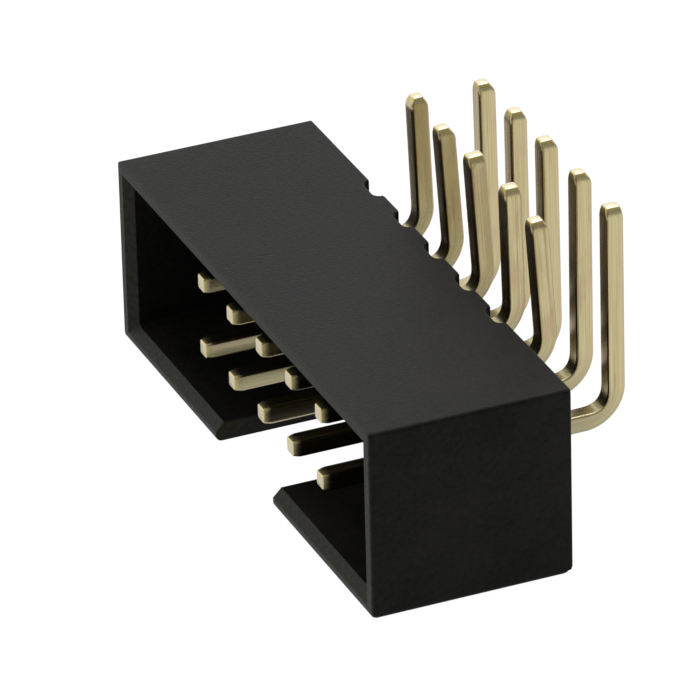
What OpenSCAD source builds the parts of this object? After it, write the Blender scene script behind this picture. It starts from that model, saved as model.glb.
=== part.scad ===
// Right-angle shrouded pin header for flat-cable sockets: two rows of five square contacts
// in a moulded box with a polarising slot, lying on its slotted long wall.
//
// Frame: +X along the rows, +Z towards the circuit board, -Y out of the mouth that takes the socket.
// The origin is the centre of the whole part's box in X and Y, on the surface that it lies on.
// All sizes are in millimetres.

/* [Contact grid] */
// Contacts in each row
columns = 5; // [2:1:15]
// Distance between contacts along a row, and between the rows
pitch = 2.0; // [1.6:0.1:3]

/* [Housing] */
// Wall beyond the outermost contact centres, at each end of the box
end_margin = 4.55; // [3.5:0.05:7]
// Depth of the box from its mouth to its rear face
housing_depth = 5.7; // [5:0.1:12]
// Height of the box across the two rows
housing_height = 5.45; // [5:0.05:9]
// Thickness of the four walls round the cavity
wall = 0.55; // [0.4:0.05:1.2]
// Thickness of the base that holds the contacts
base_thickness = 1.5; // [1:0.1:3]
// Radius of the outer long edges
edge_radius = 0.12; // [0.05:0.01:0.3]
// Radius of the cavity's inner corners
cavity_radius = 0.15; // [0.05:0.01:0.3]

/* [Mouth and key slot] */
// Flat part of the rim left outside the lead-in bevel
rim_land = 0.3; // [0.2:0.05:0.5]
// Depth of the lead-in bevel along the mouth's axis
bevel_depth = 0.25; // [0.1:0.05:0.6]
// Width of the polarising slot in the wall that the part lies on
slot_width = 3.9; // [2.5:0.1:5]

/* [Bend relief channels] */
// Width of the channel behind each column of contacts
channel_width = 1.0; // [0.7:0.05:1.4]
// Depth of the channel into the rear face
channel_depth = 0.25; // [0.1:0.05:0.5]
// Radius in the channel's bottom corners
channel_radius = 0.2; // [0.05:0.01:0.24]

/* [Contacts] */
// Side of the square wire
wire = 0.5; // [0.4:0.01:0.64]
// Radius on the wire's long edges
wire_edge_radius = 0.06; // [0.02:0.01:0.12]
// Radius inside the bend
bend_inside_radius = 0.5; // [0.3:0.05:1]
// Distance of the contact tips below the mouth
tip_recess = 0.6; // [0.2:0.05:1.5]
// From the housing's rear face to the nearer row of solder tails
tail_offset = 1.28; // [1.1:0.01:3]
// Length of the solder tails above the face that meets the board
tail_length = 2.55; // [1.5:0.05:4]
// Length of the swaged taper at each end of a contact
taper_length = 0.38; // [0.2:0.01:0.8]
// Side of the small flat at the end of the taper
taper_flat = 0.31; // [0.15:0.01:0.4]

/* [Hidden] */
// Over-bend of each column, in degrees, for the upper row (tails nearer the box) and the lower row
OVERBEND_UPPER = [2.0, 3.6, 3.5, 1.3, 3.8];
OVERBEND_LOWER = [0.9, 0.6, 0.6, 0.0, 0.2];

housing_length = (columns - 1) * pitch + 2 * end_margin;
cavity_depth = housing_depth - base_thickness;
upper_row_z = (housing_height + pitch) / 2;
lower_row_z = (housing_height - pitch) / 2;
upper_tail_y = housing_depth + tail_offset;
lower_tail_y = upper_tail_y + pitch;
tail_tip_z = housing_height + tail_length;
bend_radius = bend_inside_radius + wire / 2;
overall_depth = lower_tail_y + wire / 2;
slack = 1;                        // how far a cutting shape runs past the face that it opens

MOULDING = [0.16, 0.16, 0.155];
PLATING = [0.78, 0.72, 0.55];

// X of a column, counted from 0
function column_x(i) = (i - (columns - 1) / 2) * pitch;

// The over-bend of a column, repeated along longer rows
function overbend(list, i) = list[i % len(list)];

// Rectangle centred on the origin with round corners
module round_rect(width, height, radius) {
    square([width - 2 * radius, height], center = true);
    square([width, height - 2 * radius], center = true);
    for (sx = [-1, 1], sy = [-1, 1])
        translate([sx * (width / 2 - radius), sy * (height / 2 - radius)])
            circle(r = radius, $fn = 32);
}

// Extrudes an outline drawn in X and Z along +Y, from y = from to y = to
module along_y(from, to) {
    translate([0, to, 0]) rotate([90, 0, 0]) linear_extrude(to - from) children();
}

// Moves what is drawn from the mouth at y = 0 to the part's own frame
module in_place() {
    translate([0, -overall_depth / 2, 0]) children();
}

// Cross-section of the drawn wire
module wire_section() {
    round_rect(wire, wire, wire_edge_radius);
}

// Funnel of the lead-in bevel: two crossed wedges, which meet in mitred corners
module lead_in() {
    inner_w = housing_length - 2 * wall;
    inner_h = housing_height - 2 * wall;
    mouth_w = housing_length - 2 * rim_land;
    mouth_h = housing_height - 2 * rim_land;
    grow = slack / bevel_depth;
    far_w = mouth_w + (mouth_w - inner_w) * grow;
    far_h = mouth_h + (mouth_h - inner_h) * grow;
    intersection() {
        linear_extrude(housing_height)
            polygon([[-far_w / 2, -slack], [far_w / 2, -slack],
                     [inner_w / 2, bevel_depth], [-inner_w / 2, bevel_depth]]);
        translate([-housing_length / 2 - slack, 0, housing_height / 2])
            rotate([90, 0, 90]) linear_extrude(housing_length + 2 * slack)
                polygon([[-slack, -far_h / 2], [bevel_depth, -inner_h / 2],
                         [bevel_depth, inner_h / 2], [-slack, far_h / 2]]);
    }
}

// Cavity that the socket slides into, with its lead-in
module cavity() {
    along_y(bevel_depth - 0.01, cavity_depth)
        translate([0, housing_height / 2])
            round_rect(housing_length - 2 * wall, housing_height - 2 * wall, cavity_radius);
    lead_in();
}

// Slot that only lets the socket's key in one way round
module key_slot() {
    translate([-slot_width / 2, -slack, -slack])
        cube([slot_width, cavity_depth + slack, wall + 2 * slack]);
}

// Channel in the rear face that clears the bends of one column, open towards the board
module bend_channel() {
    floor_z = lower_row_z - channel_width / 2;
    translate([0, housing_depth, floor_z]) linear_extrude(housing_height)
        intersection() {
            round_rect(channel_width, 2 * channel_depth, channel_radius);
            translate([-channel_width, -channel_depth]) square([2 * channel_width, 2 * channel_depth]);
        }
    translate([0, housing_depth, floor_z]) linear_extrude(housing_height)
        translate([-channel_width / 2, 0]) square([channel_width, slack]);
}

// Holes through the base for the two contacts of one column
module contact_holes() {
    for (z = [lower_row_z, upper_row_z])
        along_y(cavity_depth - slack, housing_depth + slack)
            translate([0, z]) wire_section();
}

module housing() {
    color(MOULDING) in_place() difference() {
        along_y(0, housing_depth)
            translate([0, housing_height / 2])
                round_rect(housing_length, housing_height, edge_radius);
        cavity();
        key_slot();
        for (i = [0 : columns - 1]) translate([column_x(i), 0, 0]) {
            bend_channel();
            contact_holes();
        }
    }
}

// Straight length of wire along +X that ends in a four-sided swaged taper
module tapered_leg(length) {
    outline = [[-slack, -wire], [length - taper_length, -wire / 2], [length, -taper_flat / 2],
               [length, taper_flat / 2], [length - taper_length, wire / 2], [-slack, wire]];
    intersection() {
        rotate([90, 0, 90]) linear_extrude(length) wire_section();
        translate([0, 0, -wire]) linear_extrude(2 * wire) polygon(outline);
        translate([0, wire, 0]) rotate([90, 0, 0]) linear_extrude(2 * wire) polygon(outline);
    }
}

// One contact: the mating pin, the bend and the solder tail, drawn flat in X and Y with its
// bend turning up, then stood up so that the pin points out of the mouth
module contact(x, row_z, tail_y, overbend_deg) {
    bend_y = tail_y - bend_radius;
    rise = tail_tip_z - row_z - bend_radius - bend_radius * sin(overbend_deg);
    color(PLATING) in_place()
    translate([x, 0, 0]) rotate([90, 0, 90]) {
        translate([bend_y, row_z, 0]) mirror([1, 0, 0]) tapered_leg(bend_y - tip_recess);
        translate([bend_y, row_z + bend_radius, 0]) {
            rotate([0, 0, -90]) rotate_extrude(angle = 90 + overbend_deg, $fn = 64)
                translate([bend_radius, 0]) wire_section();
            rotate([0, 0, overbend_deg]) translate([bend_radius, 0, 0])
                rotate([0, 0, 90]) tapered_leg(rise / cos(overbend_deg));
        }
    }
}

module contact_upper(i) {
    contact(column_x(i), upper_row_z, upper_tail_y, overbend(OVERBEND_UPPER, i));
}

module contact_lower(i) {
    contact(column_x(i), lower_row_z, lower_tail_y, overbend(OVERBEND_LOWER, i));
}

housing();
contact_upper(0);  // contact_upper_1
contact_upper(1);  // contact_upper_2
contact_upper(2);  // contact_upper_3
contact_upper(3);  // contact_upper_4
contact_upper(4);  // contact_upper_5
contact_lower(0);  // contact_lower_1
contact_lower(1);  // contact_lower_2
contact_lower(2);  // contact_lower_3
contact_lower(3);  // contact_lower_4
contact_lower(4);  // contact_lower_5
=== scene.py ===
"""Looks of a right-angle box header: a moulded box with a key slot, and ten plated wire contacts.

Everything is worked out in millimetres in the part's own frame (+X along the rows, -Y out of the
mouth, +Z towards the board) and becomes metres when a mesh is made.
"""

import logging
import math
from dataclasses import dataclass
from enum import Enum
from typing import Any, Mapping, NamedTuple, Optional, Sequence, Union

import bmesh
import bpy
import numpy as np
from mathutils import Euler, Matrix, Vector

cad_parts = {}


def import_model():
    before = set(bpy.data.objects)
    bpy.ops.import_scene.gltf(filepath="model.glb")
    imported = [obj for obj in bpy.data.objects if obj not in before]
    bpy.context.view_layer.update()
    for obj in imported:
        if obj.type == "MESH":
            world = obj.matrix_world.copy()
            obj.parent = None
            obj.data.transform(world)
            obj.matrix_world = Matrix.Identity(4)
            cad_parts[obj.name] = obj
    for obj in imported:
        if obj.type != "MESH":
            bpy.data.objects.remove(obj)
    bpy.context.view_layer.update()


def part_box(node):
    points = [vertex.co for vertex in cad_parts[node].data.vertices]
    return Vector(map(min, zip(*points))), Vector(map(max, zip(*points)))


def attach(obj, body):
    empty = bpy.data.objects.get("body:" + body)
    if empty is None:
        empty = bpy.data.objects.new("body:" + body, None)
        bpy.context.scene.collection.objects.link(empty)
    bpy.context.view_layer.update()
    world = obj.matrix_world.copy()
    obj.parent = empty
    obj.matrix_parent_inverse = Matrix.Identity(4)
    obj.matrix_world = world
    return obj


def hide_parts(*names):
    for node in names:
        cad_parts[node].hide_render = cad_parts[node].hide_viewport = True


LOG = logging.getLogger("box_header")

MM = 0.001  # metres in a millimetre
MERGE = 1e-7  # metres within which grid points are one vertex
SHARP_DEG = 32  # angle between two faces from which their edge is shaded sharp
QUARTER_TURN = math.pi / 2
TINY = 1e-9  # millimetres by which rounding may put a place on the wrong side of a line
SAME = 1e-6  # millimetres within which two places are the same
ELSEWHERE = 99.0  # millimetres, beyond every place on the part

Colour = tuple[float, float, float]
Span = tuple[float, float]
PerRow = tuple[tuple[float, ...], tuple[float, ...]]


# ---------------------------------------------------------------- shader expressions


class Term:
    """A node socket that can stand in a Python expression; each operator adds its Math node."""

    def __init__(self, graph: "ShaderGraph", socket: bpy.types.NodeSocket) -> None:
        """Keeps the socket and the graph that it belongs to."""
        self.graph = graph
        self.socket = socket

    def _math(self, operation: str, first: Any, second: Any) -> "Term":
        """Adds one Math node.

        Args:
            operation: the node's operation, such as "ADD".
            first: a number or a term.
            second: a number or a term.

        Returns:
            The node's result.
        """
        return self.graph.term("ShaderNodeMath", {"operation": operation}, {0: first, 1: second})

    def __add__(self, other: Any) -> "Term":
        """self + other."""
        return self._math("ADD", self, other)

    def __radd__(self, other: Any) -> "Term":
        """other + self."""
        return self._math("ADD", other, self)

    def __sub__(self, other: Any) -> "Term":
        """self - other."""
        return self._math("SUBTRACT", self, other)

    def __rsub__(self, other: Any) -> "Term":
        """other - self."""
        return self._math("SUBTRACT", other, self)

    def __mul__(self, other: Any) -> "Term":
        """self * other."""
        return self._math("MULTIPLY", self, other)

    def __rmul__(self, other: Any) -> "Term":
        """other * self."""
        return self._math("MULTIPLY", other, self)


class Noise(NamedTuple):
    """Settings of a noise pattern.

    Attributes:
        scale: the number of spots in a unit.
        detail: how many times finer spots are added.
        roughness: strength of the finer spots.
    """

    scale: float
    detail: float
    roughness: float


class ShaderGraph:
    """The node tree of one material or world, with the few calls that the finishes need."""

    def __init__(self, owner: Union[bpy.types.Material, bpy.types.World]) -> None:
        """Empties the owner's node tree and keeps it."""
        owner.use_nodes = True
        self.tree = owner.node_tree
        self.tree.nodes.clear()

    def node(
        self,
        kind: str,
        settings: Optional[Mapping[str, Any]] = None,
        inputs: Optional[Mapping[Union[int, str], Any]] = None,
    ) -> bpy.types.Node:
        """Adds any node.

        Args:
            kind: the node's type name.
            settings: properties of the node, set before its sockets.
            inputs: socket names or numbers, each with a value, a term or a socket to link.

        Returns:
            The node.
        """
        made = self.tree.nodes.new(kind)
        for key, value in (settings or {}).items():
            setattr(made, key, value)
        for key, value in (inputs or {}).items():
            target = made.inputs[key]
            source = value.socket if isinstance(value, Term) else value
            if isinstance(source, bpy.types.NodeSocket):
                self.tree.links.new(source, target)
            elif isinstance(source, (tuple, list)) and target.type == "RGBA":
                target.default_value = (*source[:3], 1.0)
            else:
                target.default_value = source
        return made

    def term(
        self,
        kind: str,
        settings: Optional[Mapping[str, Any]] = None,
        inputs: Optional[Mapping[Union[int, str], Any]] = None,
        output: Union[int, str] = 0,
    ) -> Term:
        """Adds any node, as node() does, and returns one of its outputs as a term."""
        return Term(self, self.node(kind, settings, inputs).outputs[output])

    def mix(self, factor: Any, low: Any, high: Any) -> Term:
        """Blends two colours, from low at factor 0 to high at factor 1."""
        return self.term(
            "ShaderNodeMix",
            {"data_type": "RGBA", "clamp_factor": True},
            {0: factor, 6: low, 7: high},
            output=2,
        )

    def ramp(self, factor: Any, start: float, end: float) -> Term:
        """Rises smoothly from 0 where factor is start to 1 where it is end."""
        return self.term(
            "ShaderNodeMapRange",
            {"interpolation_type": "SMOOTHSTEP"},
            {"Value": factor, "From Min": start, "From Max": end},
        )

    def noise(self, place: Term, pattern: Noise) -> Term:
        """Noise from 0 to 1 over a place vector."""
        return self.term(
            "ShaderNodeTexNoise",
            None,
            {
                "Vector": place,
                "Scale": pattern.scale,
                "Detail": pattern.detail,
                "Roughness": pattern.roughness,
            },
        )

    def object_place(self) -> Term:
        """Object coordinates in millimetres."""
        place = self.term("ShaderNodeTexCoord", output="Object")
        return self._mapped(place, (1 / MM,) * 3, (0.0, 0.0, 0.0))

    def attribute_place(self, name: str, stretch: Colour, shift: Colour) -> Term:
        """A mesh's own vector attribute, stretched and shifted."""
        place = self.term("ShaderNodeAttribute", {"attribute_name": name}, None, "Vector")
        return self._mapped(place, stretch, shift)

    def attribute_value(self, name: str) -> Term:
        """A mesh's own number attribute."""
        return self.term("ShaderNodeAttribute", {"attribute_name": name}, None, "Fac")

    def _mapped(self, place: Term, stretch: Sequence[float], shift: Sequence[float]) -> Term:
        """Scales a vector and then moves it."""
        sockets = {"Vector": place, "Scale": stretch, "Location": shift}
        return self.term("ShaderNodeMapping", None, sockets)

    def bump(self, height: Term, distance: float) -> Term:
        """A bumped normal; distance is the height's full range in metres."""
        return self.term("ShaderNodeBump", None, {"Height": height, "Distance": distance, "Strength": 1.0})

    def surface(self, shader: bpy.types.Node) -> None:
        """Links a shader node to the output."""
        is_world = isinstance(self.tree.id_data, bpy.types.World)
        kind = "ShaderNodeOutputWorld" if is_world else "ShaderNodeOutputMaterial"
        self.node(kind, None, {"Surface": shader.outputs[0]})


# ---------------------------------------------------------------- finishes


@dataclass(frozen=True)
class MouldingFinish:
    """Black glass-filled plastic with the fine spark-eroded grain of its mould.

    Attributes:
        dark: colour in the grain's hollows.
        pale: colour on its peaks.
        rubbed_and_highlit: lighter edge colour, partly rubbed wear and partly a painted highlight.
        roughness: middle roughness of the surface.
        specular: the plastic's specular level.
        grain_depth: full depth of the grain in millimetres.
        coarse: the grain's larger spots.
        fine: its smaller spots.
        patches: wide patches of slightly other colour and gloss.
        contrast: tones between which the colour goes from dark to pale.
        patch_share: weight of the patches in the tone; the coarse grain has the rest.
        least_rub_and_highlight: share of the lighter edge colour that shows all along an edge.
        spotty_rub_and_highlight: share more that shows on the coarse grain's peaks.
        fine_gloss: how much the roughness varies with the fine grain.
        patch_gloss: how much it varies with the patches.
        coarse_relief: weight of the coarse grain in the relief; the fine grain has the rest.
    """

    dark: Colour = (0.0022, 0.0021, 0.0018)
    pale: Colour = (0.0086, 0.0081, 0.0070)
    rubbed_and_highlit: Colour = (0.034, 0.033, 0.022)
    roughness: float = 0.45
    specular: float = 0.075
    grain_depth: float = 0.016
    coarse: Noise = Noise(7.0, 3.0, 0.6)
    fine: Noise = Noise(15.0, 2.0, 0.6)
    patches: Noise = Noise(0.55, 2.0, 0.5)
    contrast: Span = (0.3, 0.7)
    patch_share: float = 0.45
    least_rub_and_highlight: float = 0.35
    spotty_rub_and_highlight: float = 0.3
    fine_gloss: float = 0.16
    patch_gloss: float = 0.10
    coarse_relief: float = 0.2

    def material(self, name: str) -> bpy.types.Material:
        """Makes the material.

        Args:
            name: the material's name.

        Returns:
            The material.
        """
        material = bpy.data.materials.new(name)
        graph = ShaderGraph(material)
        place = graph.object_place()
        coarse = graph.noise(place, self.coarse)
        fine = graph.noise(place, self.fine)
        patches = graph.noise(place, self.patches)
        # Lighter edges and lead-in: partly rubbed wear, partly a painted highlight
        spots = self.least_rub_and_highlight + graph.ramp(coarse, *self.contrast) * self.spotty_rub_and_highlight
        tone = coarse * (1 - self.patch_share) + patches * self.patch_share
        colour = graph.mix(graph.ramp(tone, *self.contrast), self.dark, self.pale)
        colour = graph.mix(graph.attribute_value("rubbed_and_highlit") * spots, colour, self.rubbed_and_highlit)
        gloss = (fine - 0.5) * self.fine_gloss + (patches - 0.5) * self.patch_gloss
        height = coarse * self.coarse_relief + fine * (1 - self.coarse_relief)
        graph.surface(
            graph.node(
                "ShaderNodeBsdfPrincipled",
                None,
                {
                    "Base Color": colour,
                    "Roughness": self.roughness + gloss,
                    "Specular IOR Level": self.specular,
                    "Normal": graph.bump(height, self.grain_depth * MM),
                },
            )
        )
        return material


@dataclass(frozen=True)
class Tint:
    """A colour that lies over the plating in places.

    Attributes:
        colour: the colour.
        share: how much of it shows where it is fullest, from 0 to 1.
        span: values of its pattern at which it starts and is fullest.
    """

    colour: Colour
    share: float
    span: Span


@dataclass(frozen=True)
class PlatingFinish:
    """Thin gold over nickel on drawn square wire, with die lines along the wire.

    Attributes:
        warmth: how much of the wire the browner streaks take; 0 is little, and 1 is most of it.
        flank_shade: how strongly painted shade darkens the flank on the bend's inside, from 0 to 1.
        seed: moves the pattern, so that no two contacts are alike.
        pale: the plating's main colour.
        light: colour of the lighter hairlines.
        faced: colour of the pressed end faces.
        warm: browner streaks; warmth lowers their span by warm_reach.
        bloom: faint pinkish patches.
        rim: colour along the bend's outer edges.
        painted_shade: painted shade along the wire's inner edges and on the bend's inside flank.
        pin_shade: greyer colour painted on the mating pin, as painted shade and dark reflection.
        pin_shade_share: how much of it shows there, from 0 to 1.
        pressed: olive colour of the pressed flanks.
        roughness: middle roughness of the plating.
        lines, hair, cloud: settings of the die lines, the hairlines and the patches.
        lines_stretch, hair_stretch, cloud_stretch: their spots in a millimetre across the wire,
            twice, and along it.
        seed_step: how far one seed moves the patterns.
        hair_span: hairlines from light to pale.
        face_span, face_pale: the same on the end faces, and the pale's share there.
        painted_shade_span: die lines over which the painted shade on the inner edges comes in.
        flank_span, flank_least: the same for the painted shade on the bend's inside flank, and its
        share between the lines.
        pressed_span: hairlines over which the olive comes in.
        line_share: weight of the die lines beside the patches or the hairlines.
        hair_gloss, worked_gloss: how much rougher hairlines and worked places are.
        line_depth: full depth of the lines in millimetres.
    """

    warmth: float
    flank_shade: float
    seed: float
    pale: Colour = (0.500, 0.425, 0.218)
    light: Colour = (0.560, 0.496, 0.295)
    faced: Colour = (0.610, 0.555, 0.395)
    warm: Tint = Tint((0.330, 0.250, 0.118), 0.75, (0.62, 0.72))
    warm_reach: Span = (0.2, 0.1)
    bloom: Tint = Tint((0.530, 0.400, 0.275), 0.5, (0.52, 0.70))
    rim: Tint = Tint((0.530, 0.400, 0.275), 0.6, (-0.2, -0.8))
    # Painted shade: dark lines along the inner edges, and the inside flank's dark colour
    painted_shade: Tint = Tint((0.235, 0.145, 0.068), 0.7, (0.2, 0.8))
    # Painted shade and painted dark reflection on the mating pin
    pin_shade: Colour = (0.230, 0.215, 0.140)
    pin_shade_share: float = 0.6
    pressed: Tint = Tint((0.500, 0.410, 0.120), 0.9, (0.5, 0.9))
    roughness: float = 0.24
    lines: Noise = Noise(1.0, 3.0, 0.6)
    hair: Noise = Noise(1.0, 2.0, 0.5)
    cloud: Noise = Noise(1.0, 2.0, 0.5)
    lines_stretch: Colour = (9.0, 9.0, 0.14)
    hair_stretch: Colour = (30.0, 30.0, 0.3)
    cloud_stretch: Colour = (1.6, 1.6, 0.8)
    seed_step: Colour = (3.1, 1.7, 5.3)
    hair_span: Span = (0.40, 0.62)
    face_span: Span = (0.35, 0.65)
    face_pale: float = 0.5
    painted_shade_span: Span = (0.36, 0.62)
    flank_span: Span = (0.4, 0.6)
    flank_least: float = 0.6
    pressed_span: Span = (0.3, 0.6)
    line_share: float = 0.6
    hair_gloss: float = 0.14
    worked_gloss: float = 0.10
    line_depth: float = 0.004

    def material(self, name: str) -> bpy.types.Material:
        """Makes the material.

        Args:
            name: the material's name.

        Returns:
            The material.
        """
        material = bpy.data.materials.new(name)
        graph = ShaderGraph(material)
        shift = tuple(self.seed * step for step in self.seed_step)
        lines = graph.noise(graph.attribute_place("drawn", self.lines_stretch, shift), self.lines)
        hair = graph.noise(graph.attribute_place("drawn", self.hair_stretch, shift), self.hair)
        cloud = graph.noise(graph.attribute_place("drawn", self.cloud_stretch, shift), self.cloud)
        worked = graph.attribute_value("worked")
        edged = graph.attribute_value("edged")
        rest = 1 - self.line_share
        streak = graph.mix(graph.ramp(hair, *self.hair_span), self.light, self.pale)
        low, high = (at - self.warmth * far for at, far in zip(self.warm.span, self.warm_reach))
        warm = graph.ramp(lines * self.line_share + cloud * rest, low, high)
        colour = graph.mix(warm * self.warm.share, streak, self.warm.colour)
        colour = self._tinted(graph, colour, self.bloom, graph.ramp(cloud, *self.bloom.span))
        # Painted shade along the wire's inner edges
        inner_edge = graph.ramp(edged, *self.painted_shade.span) * graph.ramp(lines, *self.painted_shade_span)
        colour = self._tinted(graph, colour, self.painted_shade, inner_edge)
        colour = self._tinted(graph, colour, self.rim, graph.ramp(edged, *self.rim.span))
        # Painted shade on the flank on the bend's inside
        on_lines = self.flank_least + (1 - self.flank_least) * graph.ramp(lines, *self.flank_span)
        flank = graph.attribute_value("inner_flank") * on_lines
        colour = graph.mix(flank * self.flank_shade, colour, self.painted_shade.colour)
        # Painted shade and painted dark reflection on the mating pin
        colour = graph.mix(graph.attribute_value("pin_shade") * self.pin_shade_share, colour, self.pin_shade)
        olive = graph.ramp(worked, *self.pressed.span) * graph.ramp(hair, *self.pressed_span)
        colour = self._tinted(graph, colour, self.pressed, olive)
        face = graph.mix(graph.ramp(hair, *self.face_span) * self.face_pale, self.faced, self.pale)
        colour = graph.mix(graph.attribute_value("faced"), colour, face)
        roughness = self.roughness + (hair - 0.5) * self.hair_gloss + worked * self.worked_gloss
        relief = graph.bump(lines * self.line_share + hair * rest, self.line_depth * MM)
        graph.surface(
            graph.node(
                "ShaderNodeBsdfPrincipled",
                None,
                {"Base Color": colour, "Metallic": 1.0, "Roughness": roughness, "Normal": relief},
            )
        )
        return material

    @staticmethod
    def _tinted(graph: ShaderGraph, under: Term, tint: Tint, where: Term) -> Term:
        """Lays a tint over a colour where its pattern says."""
        return graph.mix(where * tint.share, under, tint.colour)


# ---------------------------------------------------------------- surfaces


def grid_mesh(name: str, points: np.ndarray, attributes: Mapping[str, np.ndarray]) -> bpy.types.Mesh:
    """Makes a closed mesh from rings of points.

    Point (k, i) joins (k, i + 1), counted round the ring, and (k + 1, i). The first and last ring
    have shrunk to a point or a line, where the merge closes the surface.

    Args:
        name: the mesh's name.
        points: rings x points x 3 array, in millimetres.
        attributes: arrays of numbers or vectors for each point, kept as mesh attributes.

    Returns:
        The mesh, in metres, with its faces pointing outwards.
    """
    rings, count, _ = points.shape
    k, i = np.meshgrid(np.arange(rings - 1), np.arange(count), indexing="ij")
    j = (i + 1) % count
    quads = np.stack([k * count + i, k * count + j, (k + 1) * count + j, (k + 1) * count + i], -1)
    mesh = bpy.data.meshes.new(name)
    mesh.from_pydata((points.reshape(-1, 3) * MM).tolist(), [], quads.reshape(-1, 4).tolist())
    for key, values in attributes.items():
        is_vector = values.ndim == 3
        layer = mesh.attributes.new(key, "FLOAT_VECTOR" if is_vector else "FLOAT", "POINT")
        layer.data.foreach_set("vector" if is_vector else "value", values.astype(np.float32).ravel())
    shell = bmesh.new()
    shell.from_mesh(mesh)
    bmesh.ops.remove_doubles(shell, verts=shell.verts, dist=MERGE)
    bmesh.ops.dissolve_degenerate(shell, dist=MERGE, edges=shell.edges)
    bmesh.ops.recalc_face_normals(shell, faces=shell.faces)
    shell.to_mesh(mesh)
    shell.free()
    mesh.polygons.foreach_set("use_smooth", np.ones(len(mesh.polygons), bool))
    mesh.set_sharp_from_angle(angle=math.radians(SHARP_DEG))
    return mesh


def shown(mesh: bpy.types.Mesh, material: bpy.types.Material, node: str) -> bpy.types.Object:
    """Puts a mesh in the scene in place of a CAD node.

    Args:
        mesh: the piece's mesh, with its place in it.
        material: its finish.
        node: the CAD node that it stands for.

    Returns:
        The piece.
    """
    mesh.materials.append(material)
    piece = bpy.data.objects.new(mesh.name, mesh)
    bpy.context.scene.collection.objects.link(piece)
    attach(piece, "root")
    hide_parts(node)
    LOG.info("%s: %d faces, for %s", piece.name, len(mesh.polygons), node)
    return piece


def arc(start_deg: float, end_deg: float, steps: int) -> np.ndarray:
    """Angles of an arc in radians, both ends among them."""
    return np.radians(np.linspace(start_deg, end_deg, steps + 1))


# ---------------------------------------------------------------- the moulded box


@dataclass
class ChannelSection:
    """Cross-section of the channel that clears one column's bends, as depth over X.

    Attributes:
        half_width: half its width between the lips.
        depth: its depth into the rear face.
        foot_radius: radius in its bottom corners.
        lip_radius: radius where it meets the rear face.
        hold: distance of the grid lines that keep the flats beside a rounding flat.
    """

    half_width: float = 0.5
    depth: float = 0.25
    foot_radius: float = 0.24
    lip_radius: float = 0.08
    hold: float = 0.012

    def curve(self) -> tuple[np.ndarray, np.ndarray]:
        """Works out the section from its left lip to its right lip.

        The lip is a quarter circle that leaves the rear face, the foot a quarter circle that
        reaches the channel's floor, and the right half mirrors the left.

        Returns:
            X from the channel's centre, and the depth there, in millimetres.
        """
        lip = arc(0, 90, 4)
        foot = arc(0, 90, 6)
        x_lip = -self.half_width - self.lip_radius + self.lip_radius * np.sin(lip)
        d_lip = self.lip_radius * (1 - np.cos(lip))
        x_foot = -self.half_width + self.foot_radius * (1 - np.cos(foot))
        d_foot = self.depth - self.foot_radius + self.foot_radius * np.sin(foot)
        x_end = np.array([-self.half_width - self.lip_radius - self.hold])
        x_flat = np.array([x_foot[-1] + self.hold, 0.5 * x_foot[-1]])
        x = np.concatenate([x_end, x_lip, x_foot, x_flat])
        d = np.concatenate([[0.0], d_lip, d_foot, [self.depth, self.depth]])
        return np.concatenate([x, [0.0], -x[::-1]]), np.concatenate([d, [self.depth], d[::-1]])


@dataclass
class Columns:
    """Where each column of grid points runs round the box's rings.

    A ring with half sides hx and hz and corner radius r has its point i at
    x = fixed + reach * (hx - r - core) + round_x * r and z = side * (hz - r) + round_z * r.

    Attributes:
        fixed: X that stays the same on every ring.
        reach: share of the way from the core to the ring's corner.
        round_x: share of the corner's radius along X.
        side: share of the ring's half height, -1 on the bottom wall.
        round_z: share of the corner's radius along Z.
        depth: how far a bend channel is cut in there.
        core: X up to which a column stays in place.
    """

    fixed: np.ndarray
    reach: np.ndarray
    round_x: np.ndarray
    side: np.ndarray
    round_z: np.ndarray
    depth: np.ndarray
    core: float

    def place(self, hx: np.ndarray, hz: np.ndarray, r: np.ndarray) -> tuple[np.ndarray, np.ndarray]:
        """X and Z of every column on rings of the given half sides and corner radius."""
        x = self.fixed + self.reach * (hx - r - self.core) + self.round_x * r
        z = self.side * (hz - r) + self.round_z * r
        return x, z


class Station(NamedTuple):
    """One ring of the box's skin.

    Attributes:
        inset: distance in from the outer walls.
        y: Y from the mouth.
        radius: radius of the ring's corners.
        in_d: part of the direction into the material that points inwards.
        in_y: part of it that points along Y.
        rear: 1 where the bend channels reach the ring.
        rub_and_highlight: share of the lighter edge colour: rubbed wear and painted highlight.
        cut: 1 where the key slot takes the ring's bottom side away.
    """

    inset: float
    y: float
    radius: float
    in_d: float
    in_y: float
    rear: int = 0
    rub_and_highlight: float = 0.0
    cut: int = 0


# Extra rings and columns of the box's grid, in millimetres and, for the last two, as shares
REAR_INSETS = (2.3, 1.8)
BACK_INSETS = (0.8, 0.35)
HEEL_INSETS = (0.25, 0.20, 0.15, 0.10)
TOE_INSETS = (0.08, 0.12, 0.18)
WALL_DEPTHS = (3.2, 2.2, 1.2, 0.5)
CAVITY_DEPTHS = (0.9, 1.8, 2.8)
CAVITY_INSET = 1.4
CHANNEL_CLEAR = 0.6
WALL_XS = (1.0, 3.0, 5.0)
BEYOND_CORE = (0.15, 0.35, 0.5, 0.58, 0.63, 0.68, 0.76, 0.9, 0.985)
END_WALL = (-0.96, -0.75, -0.5, -0.25, 0.0, 0.25, 0.5, 0.75, 0.96)


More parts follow.
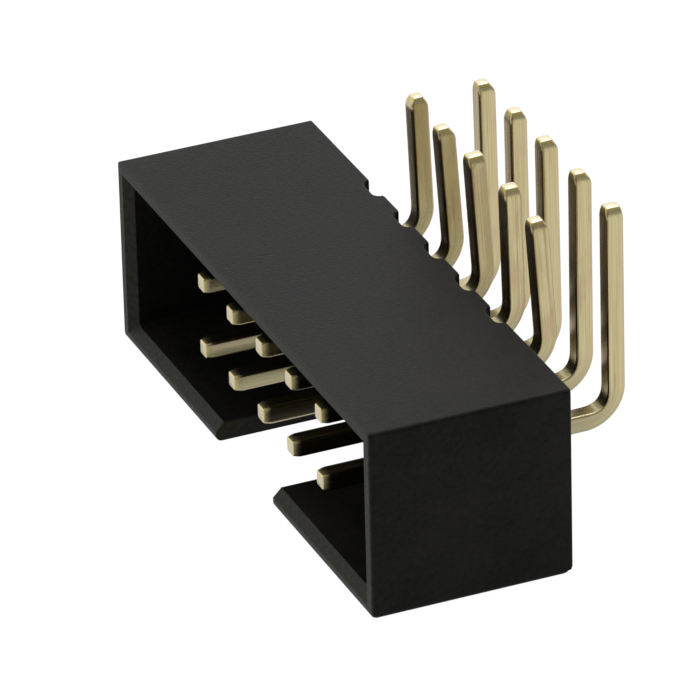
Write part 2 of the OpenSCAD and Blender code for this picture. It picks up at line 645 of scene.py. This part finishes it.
@dataclass
class MouldedBox:
    """The moulded box: outer walls, rim, lead-in, cavity, key slot and bend channels.

    Attributes:
        length: size along X.
        depth: size along Y, from the mouth to the rear face.
        height: size along Z.
        mouth_y: Y of the mouth.
        column_x: X of each column of contacts.
        wall: thickness of the walls.
        base: thickness of the base that holds the contacts.
        rim_land: flat part of the rim outside the lead-in.
        bevel: depth of the lead-in.
        outer_radius: radius of the outer long edges.
        inner_radius: radius of the cavity's corners.
        rim_radius: radius of the rings' corners on the rim's flat part.
        mitre_radius: radius of the lead-in's outer corners.
        floor_radius: radius of the innermost corners on the cavity's floor.
        slot_half: half the key slot's width.
        edge: radius of the small roundings along all the other edges.
        hold: distance of the grid lines that keep the flats beside a rounding flat.
        sliver: width left at the key slot's sides, so that they are nearly upright.
        slot_turn: share of the rings that the slot takes, which turn its inner edge.
        channel_foot_z: Z at which the bend channels end.
        foot_step: half the height over which their foot runs out.
        heel_radius: radius of the long edge between the bottom wall and the rear face.
        toe_radius: radius of the long edge between the bottom wall and the rim.
        core: X up to which the grid's columns stay in place on every ring.
        rim_rub_and_highlight, mitre_rub_and_highlight, bevel_rub_and_highlight: how much of the
        lighter colour, rubbed wear and painted highlight, the rim, the lead-in's outer edge and
        the lead-in take, from 0 to 1.
        finish: the moulding's finish.
    """

    length: float
    depth: float
    height: float
    mouth_y: float
    column_x: np.ndarray
    wall: float = 0.55
    base: float = 1.5
    rim_land: float = 0.3
    bevel: float = 0.25
    outer_radius: float = 0.12
    inner_radius: float = 0.15
    rim_radius: float = 0.07
    mitre_radius: float = 0.02
    floor_radius: float = 0.1
    slot_half: float = 1.95
    edge: float = 0.035
    hold: float = 0.012
    sliver: float = 2e-6
    slot_turn: float = 0.12
    channel_foot_z: float = 1.225
    foot_step: float = 0.01
    heel_radius: float = 0.25
    toe_radius: float = 0.18
    core: float = 5.8
    # Lighter colour on the rim and the lead-in: partly rubbed wear, partly a painted highlight
    rim_rub_and_highlight: float = 0.2
    mitre_rub_and_highlight: float = 0.8
    bevel_rub_and_highlight: float = 0.7
    finish: MouldingFinish = MouldingFinish()

    def columns(self) -> Columns:
        """Lays out the columns: bottom wall, right corner and end, top wall, left corner and end.

        Returns:
            The columns, in order round the ring as it is seen from the mouth.
        """
        channel_x, channel_d = ChannelSection().curve()
        xs = (self.column_x[:, None] + channel_x).ravel()
        ds = np.tile(channel_d, len(self.column_x))
        lip = self.slot_half + self.edge * (1 - np.sin(arc(0, 90, 4)))
        beside = (self.slot_half - self.sliver, self.slot_half + self.edge + self.hold)
        extra = np.concatenate([lip, beside, WALL_XS, [self.core]])
        extra = np.concatenate([-extra, extra])
        all_x = np.concatenate([xs, extra])
        all_d = np.concatenate([ds, np.interp(extra, xs, ds)])
        order = np.argsort(all_x, kind="stable")
        all_x, all_d = all_x[order], all_d[order]
        beyond, rise, turn = np.array(BEYOND_CORE), np.array(END_WALL), arc(0, 90, 6)

        n, b, t, s = len(all_x), len(beyond), len(turn), len(rise)
        zeros, ones = np.zeros, np.ones
        # Half a ring: the left corner and the wall's left end, the wall from left to right, the
        # right corner, and the end wall
        left, right = -ones(t + b) * self.core, ones(b + t + s) * self.core
        fixed = np.concatenate([left, all_x, right])
        reach = np.concatenate([-ones(t), -beyond[::-1], zeros(n), beyond, ones(t + s)])
        round_x = np.concatenate([-np.sin(turn[::-1]), zeros(b + n + b), np.sin(turn), ones(s)])
        side = np.concatenate([-ones(t + b + n + b + t), rise])
        round_z = np.concatenate([-np.cos(turn[::-1]), -ones(b + n + b), -np.cos(turn), zeros(s)])
        depth = np.concatenate([
            zeros(t + b), all_d, zeros(b + t + s), zeros(t + b), all_d[::-1], zeros(b + t + s)
        ])

        def whole(half: np.ndarray) -> np.ndarray:
            """Adds the second half of the ring, the first one turned by half a turn about Y."""
            return np.concatenate([half, -half])

        return Columns(
            whole(fixed), whole(reach), whole(round_x), whole(side), whole(round_z), depth, self.core
        )

    def rear_rings(self) -> list[Station]:
        """Lays rings from the middle of the rear face, over its edge, onto the outer walls.

        Returns:
            The rings, in that order.
        """
        r, foot, step = self.edge, self.channel_foot_z, self.foot_step
        at_foot = (foot + 3 * step, foot + step, foot - step, foot - 3 * step)
        heel = (*HEEL_INSETS, r + self.hold)
        rings = [
            Station(d, self.depth, 0.0, 0, -1, rear=1)
            for d in (self.height / 2, *REAR_INSETS, *at_foot, *BACK_INSETS, *heel)
        ]
        for a in arc(0, 90, 5):
            d, y = r * (1 - math.sin(a)), self.depth - r * (1 - math.cos(a))
            rings.append(
                Station(d, y, self.outer_radius - d, math.sin(a), -math.cos(a), rear=1, rub_and_highlight=1.0)
            )
        rings += [Station(0, self.depth - d, self.outer_radius, 1, 0, rear=1) for d in heel[::-1]]
        return rings

    def wall_rings(self, floor: float) -> list[Station]:
        """Lays rings along the outer walls to the rim.

        Args:
            floor: Y of the cavity's floor.

        Returns:
            The rings, in that order.
        """
        r, edge = self.edge, self.edge + self.hold
        rings = [Station(0, self.depth - CHANNEL_CLEAR, self.outer_radius, 1, 0)]
        for y in (floor + edge, floor + r, floor, floor - r, *WALL_DEPTHS, *TOE_INSETS[::-1], edge):
            rings.append(Station(0, y, self.outer_radius, 1, 0, cut=int(y <= floor + r)))
        return rings

    def rim_rings(self) -> list[Station]:
        """Lays rings round the rim's outer edge, across its flat part and down the lead-in.

        Returns:
            The rings, in that order.
        """
        # The rim's lighter colour is partly rubbed wear and partly a painted highlight
        r, rub_and_highlight = self.edge, self.rim_rub_and_highlight
        rings = []
        for a in arc(0, 90, 5):
            d, y = r * (1 - math.cos(a)), r * (1 - math.sin(a))
            rings.append(
                Station(d, y, self.outer_radius - d, math.cos(a), math.sin(a), rub_and_highlight=1.0, cut=1)
            )
        for d in (r + self.hold, *TOE_INSETS):
            rings.append(Station(d, 0, self.rim_radius, 0, 1, rub_and_highlight=rub_and_highlight, cut=1))
        rings.append(Station(self.rim_land - self.hold, 0, self.mitre_radius, 0, 1, rub_and_highlight=rub_and_highlight, cut=1))
        slope = math.sqrt(0.5)
        rings.append(
            Station(self.rim_land, 0, self.mitre_radius, -slope / 2, slope, rub_and_highlight=self.mitre_rub_and_highlight, cut=1)
        )
        for share in (0.05, 0.5, 0.95):
            inset = self.rim_land + share * (self.wall - self.rim_land)
            radius = self.mitre_radius + share * (self.inner_radius - self.mitre_radius)
            rings.append(
                Station(inset, share * self.bevel, radius, -slope, slope, rub_and_highlight=self.bevel_rub_and_highlight, cut=1)
            )
        return rings

    def cavity_rings(self, floor: float) -> list[Station]:
        """Lays rings down the cavity's walls and across its floor.

        Args:
            floor: Y of the cavity's floor.

        Returns:
            The rings, in that order.
        """
        r, edge = self.edge, self.edge + self.hold
        rings = []
        for y in (self.bevel, self.bevel + self.hold, *CAVITY_DEPTHS, floor - edge, floor - r):
            rings.append(Station(self.wall, y, self.inner_radius, -1, 0, cut=1))
        for a in arc(15, 90, 5):
            d = self.wall + r * (1 - math.cos(a))
            y, radius = floor - r * (1 - math.sin(a)), self.inner_radius - (d - self.wall)
            rings.append(Station(d, y, radius, -math.cos(a), math.sin(a), cut=1))
        rings.append(Station(self.wall + r + self.hold, floor, self.floor_radius, 0, 1))
        rings += [Station(d, floor, 0.0, 0, 1) for d in (CAVITY_INSET, self.height / 2)]
        return rings

    def stations(self) -> dict[str, np.ndarray]:
        """Lists the rings from the middle of the rear face, over the walls, to the cavity's floor.

        Returns:
            A column array for each field of Station, by its name.
        """
        floor = self.depth - self.base
        rings = [
            *self.rear_rings(), *self.wall_rings(floor), *self.rim_rings(), *self.cavity_rings(floor)
        ]
        return {
            name: np.array(column, float)[:, None]
            for name, column in zip(Station._fields, zip(*rings))
        }

    def surface(self) -> tuple[np.ndarray, np.ndarray]:
        """Works out the whole skin as one grid, stations by columns.

        A ring is the outer outline moved inwards by its inset. The bend channels push the rear
        stations forward by their section's depth. In the key slot the stations that the slot
        takes away run up its end face instead, and beside it the wall's edges sink by a quarter
        circle. What is left between the two is the slot's side.

        Returns:
            The points in millimetres, and each one's share of rubbed wear and painted highlight,
            from 0 to 1.
        """
        st, co = self.stations(), self.columns()
        floor = self.depth - self.base
        x_on_wall = np.where(co.reach == 0, co.fixed, ELSEWHERE)
        below = co.side == -1
        # Edges of the key slot
        away = np.abs(x_on_wall) - self.slot_half
        sink = np.where(below & (away >= -TINY) & (away < self.edge), self.edge, 0.0)
        fall = np.clip(1 - away / self.edge, 0, 1)
        sink = sink * (1 - np.sqrt(np.clip(1 - fall**2, 0, 1)))
        fade = st["cut"] * (np.abs(st["y"] - floor) > self.edge + SAME)
        inset = st["inset"] + sink * st["in_d"] * fade
        y = st["y"] + sink * st["in_y"] * fade
        # Inside the key slot
        inside = below & (away < -TINY)
        cut = st["cut"][:, 0] > 0
        share = np.zeros(len(cut))
        share[cut] = np.linspace(0, 1, cut.sum())
        turn = self.slot_turn
        bend = np.clip(share / turn, 0, 1) * QUARTER_TURN
        straight = self.edge + (self.wall - self.edge) * (share - turn) / (1 - turn)
        up = np.where(share < turn, self.edge * (1 - np.cos(bend)), straight)
        back = floor + self.edge * (1 - np.sin(bend))
        taken = cut[:, None] & inside[None, :]
        inset = np.where(taken, up[:, None], inset)
        y = np.where(taken, back[:, None], y)
        # Bend channels: all the way up on the top wall's side, down to their foot on the other
        step = self.foot_step
        ramp = np.clip((st["inset"] - self.channel_foot_z + step) / (2 * step), 0, 1)
        reach = np.where(below[None, :], ramp * (st["y"] == self.depth), 1.0) * st["rear"]
        y = y - co.depth[None, :] * reach
        x, z = co.place(self.length / 2 - inset, self.height / 2 - inset, st["radius"])
        z = z + self.height / 2
        y, z = self.eased(y, z, self.depth, -1, self.heel_radius)
        y, z = self.eased(y, z, 0.0, 1, self.toe_radius)
        # Lighter edge colour: partly rubbed wear, partly a painted highlight
        rubbed_and_highlit = np.broadcast_to(st["rub_and_highlight"], x.shape).copy()
        rubbed_and_highlit[:, sink > 0] = np.maximum(rubbed_and_highlit[:, sink > 0], fade)
        points = np.stack([x, y + self.mouth_y, z], -1)
        return points, rubbed_and_highlit

    @staticmethod
    def eased(
        y: np.ndarray, z: np.ndarray, edge_y: float, inwards: int, radius: float
    ) -> tuple[np.ndarray, np.ndarray]:
        """Rounds the long edge where the bottom wall meets the rear face or the rim.

        In the square of side radius at the edge, a point at (a, b) from the square's inner
        corner moves along its ray to the length max(a, b), so the square becomes a quarter disc.

        Args:
            y: Y from the mouth.
            z: height above the bottom.
            edge_y: Y of the edge.
            inwards: direction of the box along Y from the edge, 1 or -1.
            radius: radius of the rounding.

        Returns:
            The moved y and z.
        """
        a = radius - inwards * (y - edge_y)
        b = radius - z
        near = (a > 0) & (b > 0)
        scale = np.where(near, np.maximum(a, b) / np.maximum(np.hypot(a, b), TINY), 1.0)
        moved_y = np.where(near, edge_y + inwards * (radius - a * scale), y)
        return moved_y, np.where(near, radius - b * scale, z)

    def build(self) -> bpy.types.Object:
        """Makes the box and gives it its finish.

        Returns:
            The piece.
        """
        points, rubbed_and_highlit = self.surface()
        mesh = grid_mesh("moulded_box", points, {"rubbed_and_highlit": rubbed_and_highlit})
        return shown(mesh, self.finish.material("black_moulding"), "housing")


# ---------------------------------------------------------------- the contacts


class Row(Enum):
    """The two rows of contacts, by the name of their CAD nodes."""

    UPPER = "upper"
    LOWER = "lower"


# Places along the wire and across its flats, as shares
PRESSED_RUN = (0.03, 0.1, 0.25, 0.42, 0.6, 0.78, 0.92, 1.0, 1.08)
ACROSS_FLAT = (-0.93, -0.5, 0.0, 0.5, 0.93)
FLAT_END = 0.97


@dataclass(frozen=True)
class Swage:
    """How one end of a contact is pressed: how far each flank draws in, and over what length.

    Attributes:
        across: inset of the two flanks that face along X.
        inner: inset of the flank on the bend's inside.
        outer: inset of the flank on the bend's outside.
        length: length of the pressed part.
        fullness: power of the flanks' curve; 1 is flat, and more is rounder.
        rim: radius round the end face.
        dome: height of the end face's middle.
    """

    across: float
    inner: float
    outer: float
    length: float
    fullness: float
    rim: float
    dome: float = 0.012

    def stations(self) -> tuple[np.ndarray, np.ndarray, np.ndarray]:
        """Lists stations from the middle of the end face to the end of the pressed part.

        The share of the inset left at a distance s is (1 - s / length) ** fullness. Inside the
        rim the section shrinks along a quarter circle, and over the end face to a point.

        Returns:
            Distances from the tip, the share of the inset there, and a pair of rows: the share of
            the section that is left, and the share of the rim's radius that it shrinks by.
        """
        face = np.linspace(0, 1, 4)
        turn = arc(18, 90, 4)
        run = np.array(PRESSED_RUN)
        s = np.concatenate([
            self.dome * face**2,
            self.dome + self.rim * (1 - np.cos(turn)),
            self.dome + self.rim + run * self.length,
        ])
        share = np.clip(1 - (s - self.dome - self.rim) / self.length, 0, 1) ** self.fullness
        left = np.concatenate([face, np.ones(len(turn) + len(run))])
        shrink = np.concatenate([np.ones(len(face)), 1 - np.sin(turn), np.zeros(len(run))])
        return s, share, np.stack([left, shrink])


@dataclass
class Contact:
    """One bent square-wire contact: mating pin, bend and solder tail, with a swaged tip at each end.

    Attributes:
        node: the CAD node that it stands for.
        x: X of its middle.
        row_z: Z of its mating pin.
        tip_y: Y of the mating tip.
        tail_y: Y of the tail's middle where it leaves the bend.
        top_z: Z of the tail's tip.
        over_bend: degrees by which the bend goes past a right angle.
        soldered: how the tail's tip is pressed.
        finish: its plating.
        mating: how the mating tip is pressed.
        half: half the wire's side.
        edge: radius of its long edges.
        crown: how far its flats bulge.
        bend_radius: radius of its middle round the bend.
        pinch: inset of its inside in the middle of the bend.
        spread: share by which its inside grows wider in the bend, and its outside narrower.
        spread_reach: share of the bend, from its middle, over which it does.
        bend_wear: how worked the wire is in the bend, where 1 is a pressed tip.
        face_rim: share of the rim's radius from which the rim looks as the end face does.
    """

    node: str
    x: float
    row_z: float
    tip_y: float
    tail_y: float
    top_z: float
    over_bend: float
    soldered: Swage
    finish: PlatingFinish
    mating: Swage = Swage(across=0.035, inner=0.035, outer=0.035, length=0.20, fullness=1.5, rim=0.045)
    half: float = 0.25
    edge: float = 0.06
    crown: float = 0.003
    bend_radius: float = 0.92
    pinch: float = 0.07
    spread: float = 0.035
    spread_reach: float = 0.42
    bend_wear: float = 0.5
    face_rim: float = 0.3

    def turn(self) -> float:
        """The bend's whole angle in radians."""
        return math.radians(90 + self.over_bend)

    def straight(self) -> float:
        """Length of the wire from the mating tip to the bend."""
        return self.tail_y - self.bend_radius - self.tip_y

    def centreline(self, s: np.ndarray) -> tuple[np.ndarray, np.ndarray, np.ndarray]:
        """Follows the wire: straight along +Y, round the bend's circle, then straight up.

        Args:
            s: distances along the wire from the mating tip.

        Returns:
            Y and Z of the wire's middle there, and the angle that it has turned, in radians.
        """
        turn, start = self.turn(), self.straight()
        angle = np.clip((s - start) / self.bend_radius, 0, turn)
        run = np.minimum(s, start)
        climb = np.maximum(s - start - self.bend_radius * turn, 0)
        y = self.tip_y + run + self.bend_radius * np.sin(angle) + climb * math.cos(turn)
        z = self.row_z + self.bend_radius * (1 - np.cos(angle)) + climb * math.sin(turn)
        return y, z, angle

    def total(self) -> float:
        """Length of the wire from tip to tip."""
        turn = self.turn()
        bend_end = self.row_z + self.bend_radius * (1 - math.cos(turn))
        return self.straight() + self.bend_radius * turn + (self.top_z - bend_end) / math.sin(turn)

    def build(self) -> bpy.types.Object:
        """Carries the rounded square section along the centreline.

        A point of the section is at u = side * (hu - r) + round * r across the wire, and the same
        for w towards the bend's inside, plus a slight crown on the flats. The half sides hu and
        hw are the wire's, less the swaged insets. Round the bend the inside of the wire spreads
        a little and the outside draws in.

        Returns:
            The piece.
        """
        total, start = self.total(), self.straight()
        bend = self.bend_radius * self.turn()
        s_pin, share_pin, end_pin = self.mating.stations()
        s_tail, share_tail, end_tail = self.soldered.stations()
        at_tip, at_bend = 0.2, 0.1  # millimetres that the straight runs' rings keep clear
        middle = np.concatenate([
            np.linspace(s_pin[-1] + at_tip, start - at_bend, 8),
            start + bend * np.linspace(0, 1, 25),
            np.linspace(start + bend + at_bend, total - s_tail[-1] - at_tip, 8),
        ])
        none = np.zeros(len(middle))
        s = np.concatenate([s_pin, middle, total - s_tail[::-1]])[:, None]
        pin = np.concatenate([share_pin, none, 0 * share_tail])[:, None]
        tail = np.concatenate([0 * share_pin, none, share_tail[::-1]])[:, None]
        left, shrink = np.concatenate(
            [end_pin, np.stack([none + 1, none]), end_tail[:, ::-1]], axis=1
        )[:, :, None]
        rim = np.where(pin > 0, self.mating.rim, self.soldered.rim) * shrink
        across = pin * self.mating.across + tail * self.soldered.across
        round_bend = np.clip((s - start) / bend, 0, 1)
        pinched = self.pinch * np.sin(math.pi * round_bend) ** 2
        inner = pin * self.mating.inner + tail * self.soldered.inner + pinched
        outer = pin * self.mating.outer + tail * self.soldered.outer
        hu = (self.half - across - rim) * left
        hw = (self.half - (inner + outer) / 2 - rim) * left
        middle_w = (outer - inner) / 2
        # The corners stay round where the section is small, and never take up a whole side
        r = np.minimum(self.edge, 0.9 * np.minimum(hu, hw)) * np.clip(left, 0.3, 1)

        turn = arc(0, 90, 4)
        flat = np.array(ACROSS_FLAT)
        one, zero = np.ones(len(flat)), np.zeros(len(flat))
        # One side of the square and the corner after it, as (side, round) pairs for u and for w
        su, ru = np.concatenate([one, one]), np.concatenate([one, np.cos(turn)])
        sw, rw = np.concatenate([flat, one]), np.concatenate([zero, np.sin(turn)])
        bow = np.concatenate([1 - flat**2, zero])
        zero = np.zeros_like(bow)
        side_u, round_u, bow_u = (
            np.concatenate([a, -b, -a, b]) for a, b in ((su, sw), (ru, rw), (bow, zero))
        )
        side_w, round_w, bow_w = (
            np.concatenate([b, a, -b, -a]) for a, b in ((su, sw), (ru, rw), (bow, zero))
        )
        u = side_u * (hu - r) + round_u * r + self.crown * bow_u * hu / self.half
        w = side_w * (hw - r) + round_w * r + self.crown * bow_w * hw / self.half + middle_w

        y, z, angle = self.centreline(s)
        in_bend = np.exp(-(((s - start - bend / 2) / (self.spread_reach * bend)) ** 4))
        u = u * (1 + self.spread * in_bend * w / self.half)
        points = np.stack([self.x + u, y - w * np.sin(angle), z + w * np.cos(angle)], -1)

        def whole(values: np.ndarray) -> np.ndarray:
            """Repeats values over the whole grid."""
            return np.broadcast_to(values, u.shape)

        is_corner = np.concatenate([np.zeros(len(flat)), np.ones(len(turn))])
        turned = np.clip(angle / QUARTER_TURN, 0, 1)
        mesh = grid_mesh(f"plated_{self.node}", points, {
            "drawn": np.stack([u, w, whole(s)], -1),
            "worked": whole(np.maximum(np.maximum(pin, tail), self.bend_wear * in_bend)),
            "edged": whole(np.tile(is_corner, 4) * np.sign(side_w) * (left >= 1)),
            # Where painted shade falls on the flank on the bend's inside
            "inner_flank": whole(turned**4) * (side_w >= 1) * (np.abs(side_u) < FLAT_END),
            # Where painted shade falls on the mating pin and the start of the bend
            "pin_shade": whole(1 - turned),
            "faced": whole(np.where((left < 1) | (shrink > self.face_rim), 1.0, 0.0)),
        })
        return shown(mesh, self.finish.material(f"plating_{self.node}"), self.node)


@dataclass
class ContactSet:
    """All ten contacts. Each table has the upper row first and one number for each column.

    Attributes:
        over_bend: degrees by which each bend goes past a right angle.
        rise: how far each tail stands above the CAD's tip height.
        outer_press: inset of each tail's flank on the bend's outside.
        inner_press: inset of each tail's flank on the bend's inside.
        warmth: how much of each contact the browner streaks take.
        flank_shade: how strongly painted shade darkens each tail's inner flank.
        wire: side of the wire.
        mating_reach: how far the mating tips stand in front of the CAD's.
        row_shift: how far each row's tails stand behind the CAD's.
        tip_half: half the side of the CAD's end faces; its share by the sine of a tail's lean is
            how far the tail's box is higher than the middle of its tip.
    """

    over_bend: PerRow = ((2.0, 3.6, 3.5, 1.3, 3.8), (0.9, 0.6, 0.6, 0.0, 0.2))
    rise: PerRow = ((-0.01, 0.0, 0.08, 0.04, 0.03), (-0.02, 0.025, 0.095, 0.03, -0.05))
    outer_press: PerRow = ((0.095, 0.13, 0.03, 0.045, 0.095), (0.125, 0.10, 0.115, 0.13, 0.045))
    inner_press: PerRow = ((0.08, 0.02, 0.02, 0.05, 0.03), (0.02, 0.06, 0.01, 0.02, 0.03))
    warmth: PerRow = ((0.6, 0.6, 0.5, 0.65, 1.1), (0.4, 0.35, 0.3, 0.45, 0.35))
    # Painted shade on each tail's inner flank
    flank_shade: PerRow = ((0.1, 0.6, 0.6, 0.6, 0.6), (0.6, 0.7, 0.7, 0.8, 0.9))
    wire: float = 0.5
    mating_reach: float = 0.1
    row_shift: tuple[float, float] = (0.05, 0.0)
    tip_half: float = 0.155

    def contacts(self) -> list[Contact]:
        """Places each contact by its CAD node's box.

        Returns:
            The contacts, upper row first.
        """
        made = []
        for r, row in enumerate(Row):
            for c in range(len(self.over_bend[r])):
                node = f"contact_{row.value}_{c + 1}"
                low, high = (np.array(corner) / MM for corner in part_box(node))
                bend = self.over_bend[r][c]
                tip_slant = self.tip_half * math.sin(math.radians(bend))
                made.append(
                    Contact(
                        node=node,
                        x=float(low[0] + high[0]) / 2,
                        row_z=float(low[2]) + self.wire / 2,
                        tip_y=float(low[1]) - self.mating_reach,
                        tail_y=float(high[1]) - self.wire / 2 + self.row_shift[r],
                        top_z=float(high[2]) - tip_slant + self.rise[r][c],
                        over_bend=bend,
                        soldered=Swage(
                            across=0.07,
                            inner=self.inner_press[r][c],
                            outer=self.outer_press[r][c],
                            length=0.30,
                            fullness=2.2,
                            rim=0.06,
                        ),
                        finish=PlatingFinish(
                            warmth=self.warmth[r][c],
                            flank_shade=self.flank_shade[r][c],
                            seed=1.0 + 5 * r + c,
                        ),
                    )
                )
        return made

    def build(self) -> list[bpy.types.Object]:
        """Builds every contact."""
        return [contact.build() for contact in self.contacts()]


# ---------------------------------------------------------------- the studio


@dataclass
class Studio:
    """White table and surroundings, soft lamps and the camera.

    Attributes:
        eye: place of the camera in metres.
        turn: the camera's turn about X, Y and Z in degrees, from looking straight down.
        lens: focal length in millimetres, for a sensor of sensor millimetres.
        sensor: the sensor's width.
        dim: the room's level towards +X.
        bright: its level behind and above the part.
        bright_side: direction of the bright side.
        fade: values along it between which the level goes from dim to bright.
        table_half: half the table's side in metres.
        table_drop: how far the table lies under the part, in metres.
        table_grey: the table's own colour.
        table_glow: its strength as the camera and glossy rays see it.
        table_seen: share of the glow in what they see; the rest keeps the shadow.
    """

    eye: Colour = (0.17738489, -0.07530222, 0.10695158)
    turn: Colour = (61.583731, 1.300841, 66.700745)
    lens: float = 422.754
    sensor: float = 36.0
    dim: float = 0.34
    bright: float = 1.4
    bright_side: Colour = (-0.75, 0.0, 0.66)
    fade: Span = (-0.35, 0.45)
    table_half: float = 1.5
    table_drop: float = 1e-5
    table_grey: float = 0.86
    table_glow: float = 1.03
    table_seen: float = 0.95

    def camera(self) -> None:
        """Places the camera, with its turn and lens."""
        data = bpy.data.cameras.new("camera")
        data.lens = self.lens
        data.sensor_width = self.sensor
        data.clip_start = 0.01
        data.clip_end = 10.0
        camera = bpy.data.objects.new("camera", data)
        bpy.context.scene.collection.objects.link(camera)
        turn = Euler([math.radians(angle) for angle in self.turn], "XYZ")
        camera.matrix_world = Matrix.LocRotScale(self.eye, turn, None)
        bpy.context.scene.camera = camera

    def table(self) -> None:
        """Makes the white table, which the camera and glossy rays see at full white."""
        corners = [
            (x * self.table_half, y * self.table_half, -self.table_drop)
            for x, y in ((-1, -1), (1, -1), (1, 1), (-1, 1))
        ]
        mesh = bpy.data.meshes.new("table")
        mesh.from_pydata(corners, [], [(0, 1, 2, 3)])
        material = bpy.data.materials.new("white_table")
        graph = ShaderGraph(material)
        seen = self._seen(graph, ("Camera", "Glossy", "Transmission")) * self.table_seen
        lit = graph.node("ShaderNodeBsdfDiffuse", None, {"Color": (self.table_grey,) * 3})
        white = graph.node(
            "ShaderNodeEmission", None, {"Color": (1.0, 1.0, 1.0), "Strength": self.table_glow}
        )
        graph.surface(
            graph.node("ShaderNodeMixShader", None, {0: seen, 1: lit.outputs[0], 2: white.outputs[0]})
        )
        mesh.materials.append(material)
        table = bpy.data.objects.new("table", mesh)
        bpy.context.scene.collection.objects.link(table)

    def surroundings(self) -> None:
        """Lights the room, bright behind and above the part and dim towards +X and the camera.

        The camera and transmission rays see it white.
        """
        world = bpy.data.worlds.new("room")
        bpy.context.scene.world = world
        graph = ShaderGraph(world)
        towards = graph.term("ShaderNodeTexCoord", output="Generated")
        lit_side = graph.term(
            "ShaderNodeVectorMath",
            {"operation": "DOT_PRODUCT"},
            {0: towards, 1: self.bright_side},
            "Value",
        )
        level = self.dim + graph.ramp(lit_side, *self.fade) * (self.bright - self.dim)
        room, white = (
            graph.node("ShaderNodeBackground", None, {"Color": (1.0, 1.0, 1.0), "Strength": strength})
            for strength in (level, 1.0)
        )
        seen = self._seen(graph, ("Camera", "Transmission"))
        graph.surface(
            graph.node("ShaderNodeMixShader", None, {0: seen, 1: room.outputs[0], 2: white.outputs[0]})
        )

    @staticmethod
    def _seen(graph: ShaderGraph, kinds: Sequence[str]) -> Term:
        """1 for rays of the given kinds, and 0 for all others."""
        path = graph.node("ShaderNodeLightPath")
        rays: Any = 0.0
        for kind in kinds:
            rays = Term(graph, path.outputs[f"Is {kind} Ray"]) + rays
        return graph.term("ShaderNodeMath", {"operation": "MINIMUM"}, {0: rays, 1: 1.0})

    def lamp(self, name: str, direction: Colour, distance: float, size: float, power: float) -> None:
        """Adds one square softbox that faces the part.

        Args:
            name: the lamp's name.
            direction: direction from the part to the lamp.
            distance: metres from the part.
            size: side of the softbox in metres.
            power: radiant power in watts.
        """
        data = bpy.data.lights.new(name, "AREA")
        data.shape = "SQUARE"
        data.size = size
        data.energy = power
        lamp = bpy.data.objects.new(name, data)
        bpy.context.scene.collection.objects.link(lamp)
        towards = np.array(direction) / np.linalg.norm(direction)
        place = towards * distance
        across = np.cross([0.0, 0.0, 1.0], towards)
        across /= np.linalg.norm(across)
        up = np.cross(towards, across)
        lamp.matrix_world = Matrix([
            (across[row], up[row], towards[row], place[row]) for row in range(3)
        ] + [(0.0, 0.0, 0.0, 1.0)])

    def build(self) -> None:
        """Sets the room, its lamps and the camera, and the plain view transform."""
        bpy.context.scene.view_settings.view_transform = "Standard"
        self.camera()
        self.table()
        self.surroundings()
        self.lamp("key_softbox", direction=(-0.35, 0.25, 0.90), distance=0.5, size=0.25, power=0.9)


def main() -> None:
    """Loads the frame and builds the box, the contacts and the studio, in that order."""
    logging.basicConfig(level=logging.INFO, format="%(name)s: %(message)s")
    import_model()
    low, high = (np.array(corner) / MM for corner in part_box("housing"))
    contacts = ContactSet()
    column_x = np.array(sorted({round(c.x, 4) for c in contacts.contacts()}))
    size = high - low
    MouldedBox(float(size[0]), float(size[1]), float(size[2]), float(low[1]), column_x).build()
    contacts.build()
    Studio().build()


if __name__ == "__main__":
    main()
